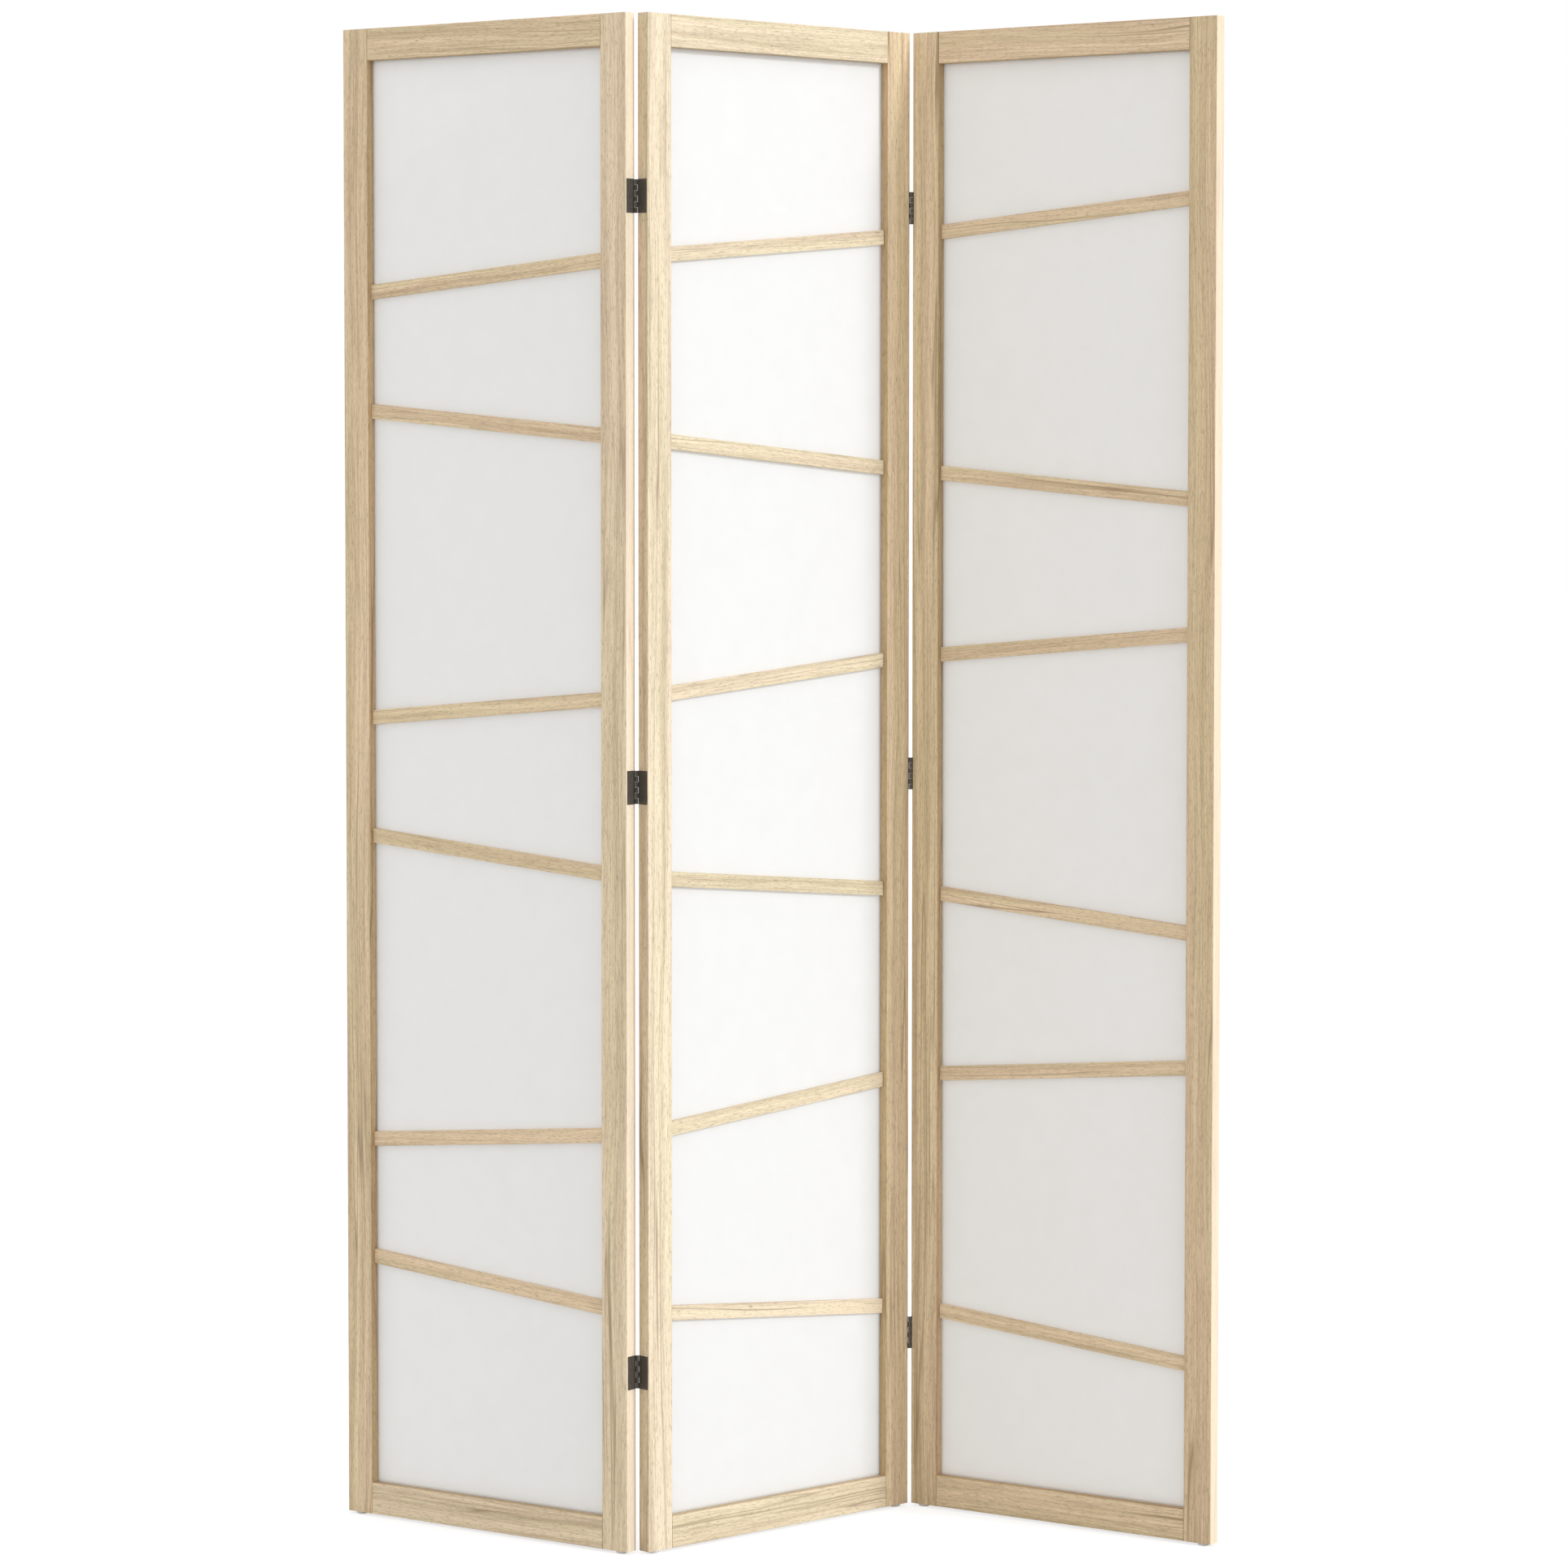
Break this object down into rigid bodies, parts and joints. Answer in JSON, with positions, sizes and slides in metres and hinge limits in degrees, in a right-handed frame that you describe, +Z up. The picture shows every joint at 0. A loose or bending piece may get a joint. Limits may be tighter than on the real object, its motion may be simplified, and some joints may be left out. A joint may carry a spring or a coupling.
{
  "type": "shoji folding screen",
  "caption": "Free-standing folding screen: paper panels in light wooden frames with slanted bars, joined by butt hinges so that it stands in a zigzag, opens straight or folds flat.",
  "frame": {"origin": "on the floor under the centre of the middle panel, which is also the centre of the screen's footprint", "axes": "+Z up; -Y out of the front, the side with the slanted bars; +X to the right seen from the front, along the line that the zigzag follows"},
  "size_m": [0.9718, 0.2624, 1.7],
  "materials": {
    "wood": "matt clear lacquer on light oak-coloured wood",
    "paper": "matt laminated shoji paper",
    "hinge_steel": "dark bronze-black, satin",
    "nylon": "smooth white nylon"
  },
  "bodies": {
    "middle_panel": {"middle_panel_left_stile": "wood", "middle_panel_right_stile": "wood", "middle_panel_top_rail": "wood", "middle_panel_bottom_rail": "wood", "middle_panel_paper": "paper", "middle_panel_bar_1": "wood", "middle_panel_bar_2": "wood", "middle_panel_bar_3": "wood", "middle_panel_bar_4": "wood", "middle_panel_bar_5": "wood", "middle_panel_bar_6": "wood", "middle_panel_left_foot": "nylon", "middle_panel_right_foot": "nylon", "left_seam_top_hinge_right_leaf": "hinge_steel", "left_seam_top_hinge_pin": "hinge_steel", "left_seam_middle_hinge_right_leaf": "hinge_steel", "left_seam_middle_hinge_pin": "hinge_steel", "left_seam_bottom_hinge_right_leaf": "hinge_steel", "left_seam_bottom_hinge_pin": "hinge_steel", "right_seam_top_hinge_left_leaf": "hinge_steel", "right_seam_top_hinge_pin": "hinge_steel", "right_seam_middle_hinge_left_leaf": "hinge_steel", "right_seam_middle_hinge_pin": "hinge_steel", "right_seam_bottom_hinge_left_leaf": "hinge_steel", "right_seam_bottom_hinge_pin": "hinge_steel"},
    "left_panel": {"left_panel_left_stile": "wood", "left_panel_right_stile": "wood", "left_panel_top_rail": "wood", "left_panel_bottom_rail": "wood", "left_panel_paper": "paper", "left_panel_bar_1": "wood", "left_panel_bar_2": "wood", "left_panel_bar_3": "wood", "left_panel_bar_4": "wood", "left_panel_bar_5": "wood", "left_panel_bar_6": "wood", "left_panel_left_foot": "nylon", "left_panel_right_foot": "nylon", "left_seam_top_hinge_left_leaf": "hinge_steel", "left_seam_middle_hinge_left_leaf": "hinge_steel", "left_seam_bottom_hinge_left_leaf": "hinge_steel"},
    "right_panel": {"right_panel_left_stile": "wood", "right_panel_right_stile": "wood", "right_panel_top_rail": "wood", "right_panel_bottom_rail": "wood", "right_panel_paper": "paper", "right_panel_bar_1": "wood", "right_panel_bar_2": "wood", "right_panel_bar_3": "wood", "right_panel_bar_4": "wood", "right_panel_bar_5": "wood", "right_panel_bar_6": "wood", "right_panel_left_foot": "nylon", "right_panel_right_foot": "nylon", "right_seam_top_hinge_right_leaf": "hinge_steel", "right_seam_middle_hinge_right_leaf": "hinge_steel", "right_seam_bottom_hinge_right_leaf": "hinge_steel"}
  },
  "joints": [
    {"name": "left_fold", "type": "hinge", "parent": "middle_panel", "child": "left_panel", "pos_m": [-0.16266, -0.11795, 0.8515], "axis": [0, 0, 1], "range_deg": [-102.4, 77.6]},
    {"name": "right_fold", "type": "hinge", "parent": "middle_panel", "child": "right_panel", "pos_m": [0.16266, 0.11795, 0.8515], "axis": [0, 0, 1], "range_deg": [-102.4, 77.6]}
  ]
}
